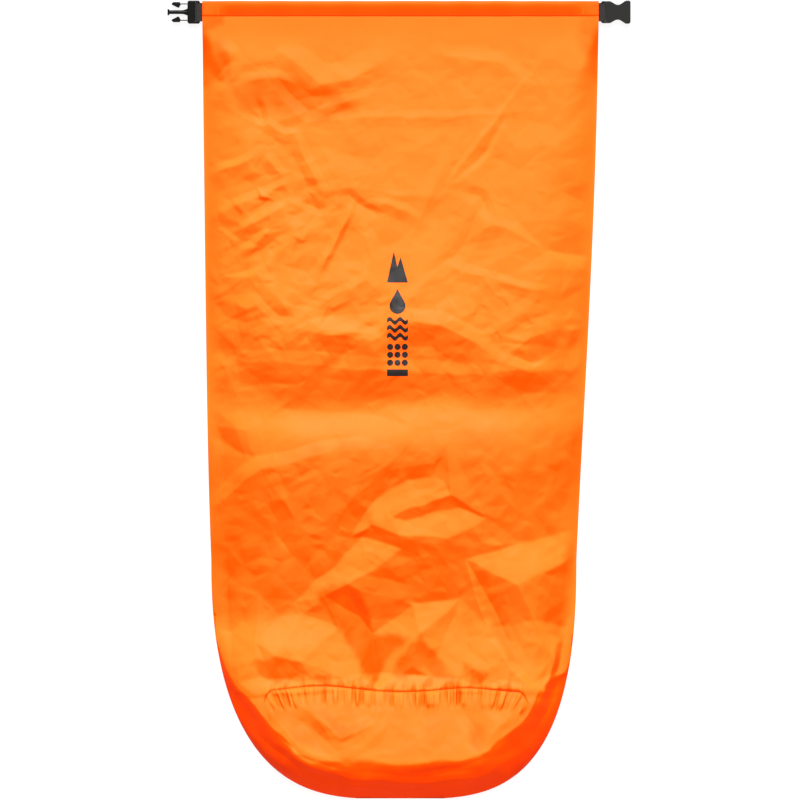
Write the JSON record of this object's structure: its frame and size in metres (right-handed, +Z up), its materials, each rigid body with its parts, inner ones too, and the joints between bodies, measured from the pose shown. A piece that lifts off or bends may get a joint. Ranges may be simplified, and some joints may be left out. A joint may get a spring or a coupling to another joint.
{
  "type": "roll-top dry bag",
  "caption": "Empty roll-top dry bag lying flat: coated fabric body with a round base, stiffened mouth hem that rolls over, and a side-release buckle on webbing tabs.",
  "frame": {"origin": "centre of the footprint of the bag lying on its back, on the ground", "axes": "+X across the bag, from the male buckle half to the female half; +Y towards the mouth; +Z up, out of the front panel"},
  "size_m": [0.556, 0.958, 0.054],
  "materials": {
    "coated_fabric": "thin coated nylon, slight sheen, creased",
    "seam_tape": "translucent heat-bonded film",
    "stiffener_strip": "smooth extruded strip",
    "webbing": "woven nylon tape",
    "thread": "dense zigzag stitching",
    "buckle_plastic": "fine moulded texture"
  },
  "bodies": {
    "bag": {"front_panel": "coated_fabric", "back_panel": "coated_fabric", "base_panel": "coated_fabric", "side_seam_tape_left": "seam_tape", "side_seam_tape_right": "seam_tape", "base_seam_tape_front": "seam_tape", "base_seam_tape_back": "seam_tape"},
    "lower_collar": {"collar_lower_front": "coated_fabric", "collar_lower_back": "coated_fabric"},
    "upper_collar": {"collar_upper_front": "coated_fabric", "collar_upper_back": "coated_fabric"},
    "mouth_hem": {"hem_sleeve_front": "coated_fabric", "hem_sleeve_back": "coated_fabric", "stiffener_front": "stiffener_strip", "stiffener_back": "stiffener_strip", "webbing_tab_left": "webbing", "webbing_tab_right": "webbing", "bar_tack_left_outer": "thread", "bar_tack_left_inner": "thread", "bar_tack_right_outer": "thread", "bar_tack_right_inner": "thread"},
    "male_buckle": {"male_buckle_body": "buckle_plastic"},
    "upper_arm": {"latch_arm_upper": "buckle_plastic"},
    "lower_arm": {"latch_arm_lower": "buckle_plastic"},
    "female_buckle": {"female_buckle_housing": "buckle_plastic"}
  },
  "joints": [
    {"name": "roll_fold_lower", "type": "hinge", "parent": "bag", "child": "lower_collar", "pos_m": [0, 0.3925, 0.017], "axis": [1, 0, 0], "range_deg": [0, 178]},
    {"name": "roll_fold_middle", "type": "hinge", "parent": "lower_collar", "child": "upper_collar", "pos_m": [0, 0.4235, 0.0118], "axis": [1, 0, 0], "range_deg": [0, 178]},
    {"name": "roll_fold_top", "type": "hinge", "parent": "upper_collar", "child": "mouth_hem", "pos_m": [0, 0.452, 0.0076], "axis": [1, 0, 0], "range_deg": [0, 178]},
    {"name": "male_buckle_swivel", "type": "hinge", "parent": "mouth_hem", "child": "male_buckle", "pos_m": [-0.2412, 0.46525, 0.0042], "axis": [0, -1, 0], "range_deg": [-95, 0]},
    {"name": "female_buckle_swivel", "type": "hinge", "parent": "mouth_hem", "child": "female_buckle", "pos_m": [0.2448, 0.46525, 0.0042], "axis": [0, 1, 0], "range_deg": [-95, 0]},
    {"name": "latch_arm_upper_press", "type": "hinge", "parent": "male_buckle", "child": "upper_arm", "pos_m": [-0.2543, 0.4751, 0.0042], "axis": [0, 0, 1], "range_deg": [0, 8], "stiffness_Nm_per_rad": 0.2},
    {"name": "latch_arm_lower_press", "type": "hinge", "parent": "male_buckle", "child": "lower_arm", "pos_m": [-0.2543, 0.4554, 0.0042], "axis": [0, 0, -1], "range_deg": [0, 8], "stiffness_Nm_per_rad": 0.2}
  ]
}
